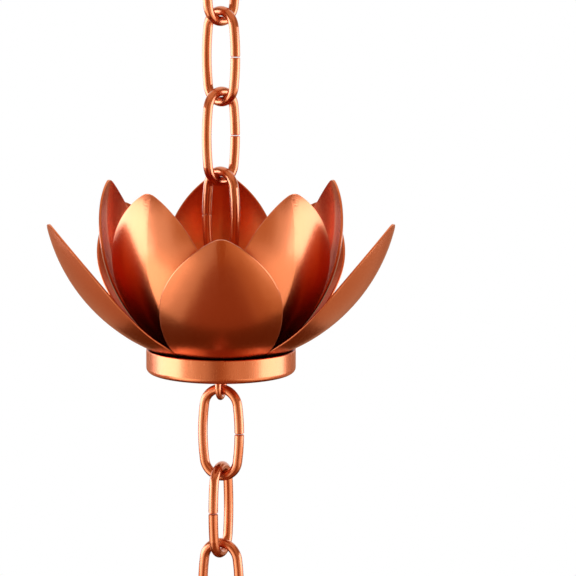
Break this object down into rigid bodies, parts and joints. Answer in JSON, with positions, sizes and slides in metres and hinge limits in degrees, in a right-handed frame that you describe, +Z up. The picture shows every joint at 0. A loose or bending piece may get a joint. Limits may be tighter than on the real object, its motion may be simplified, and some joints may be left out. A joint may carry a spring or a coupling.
{
  "type": "rain chain",
  "caption": "Length of copper rain chain: a lotus cup of layered petals on a shallow pan, hung by wire eyes between oval chain links so that roof water runs down it.",
  "frame": {"origin": "inside the top bow of the top link, where a hook bears", "axes": "+Z up along the hanging chain, -Y to the viewer of the picture, with an outer petal pointing to -Y"},
  "size_m": [0.1136, 0.1102, 0.2645],
  "materials": {
    "copper_wire": "bright drawn copper wire",
    "copper_sheet": "satin stamped copper sheet"
  },
  "bodies": {
    "upper_link_1": {"upper_link_1": "copper_wire"},
    "upper_link_2": {"upper_link_2": "copper_wire"},
    "upper_link_3": {"upper_link_3": "copper_wire"},
    "upper_link_4": {"upper_link_4": "copper_wire"},
    "upper_link_5": {"upper_link_5": "copper_wire"},
    "cup": {"base_pan": "copper_sheet", "outer_petals": "copper_sheet", "inner_petals": "copper_sheet", "upper_eye_pin": "copper_wire", "lower_eye_pin": "copper_wire"},
    "lower_link_1": {"lower_link_1": "copper_wire"},
    "lower_link_2": {"lower_link_2": "copper_wire"},
    "lower_link_3": {"lower_link_3": "copper_wire"},
    "lower_link_4": {"lower_link_4": "copper_wire"}
  },
  "joints": [
    {"name": "upper_link_2_swing", "type": "hinge", "parent": "upper_link_1", "child": "upper_link_2", "pos_m": [0, 0, -0.0282], "axis": [0.7071, 0.7071, 0], "range_deg": [-120, 120]},
    {"name": "upper_link_3_swing", "type": "hinge", "parent": "upper_link_2", "child": "upper_link_3", "pos_m": [0, 0, -0.0546], "axis": [0.7071, -0.7071, 0], "range_deg": [-110, 110]},
    {"name": "upper_link_4_swing", "type": "hinge", "parent": "upper_link_3", "child": "upper_link_4", "pos_m": [0, 0, -0.081], "axis": [-0.7071, -0.7071, 0], "range_deg": [-80, 80]},
    {"name": "upper_link_5_swing", "type": "hinge", "parent": "upper_link_4", "child": "upper_link_5", "pos_m": [0, 0, -0.1074], "axis": [-0.7071, 0.7071, 0], "range_deg": [-40, 40]},
    {"name": "cup_swing", "type": "hinge", "parent": "upper_link_5", "child": "cup", "pos_m": [0, 0, -0.1338], "axis": [0.2588, 0.9659, 0], "range_deg": [-25, 25]},
    {"name": "lower_link_1_swing", "type": "hinge", "parent": "cup", "child": "lower_link_1", "pos_m": [0, 0, -0.15352], "axis": [-0.2588, -0.9659, 0], "range_deg": [-55, 55]},
    {"name": "lower_link_2_swing", "type": "hinge", "parent": "lower_link_1", "child": "lower_link_2", "pos_m": [0, 0, -0.18052], "axis": [0.9205, -0.3907, 0], "range_deg": [-120, 120]},
    {"name": "lower_link_3_swing", "type": "hinge", "parent": "lower_link_2", "child": "lower_link_3", "pos_m": [0, 0, -0.20692], "axis": [-0.3907, -0.9205, 0], "range_deg": [-120, 120]},
    {"name": "lower_link_4_swing", "type": "hinge", "parent": "lower_link_3", "child": "lower_link_4", "pos_m": [0, 0, -0.23332], "axis": [-0.9205, 0.3907, 0], "range_deg": [-120, 120]}
  ]
}
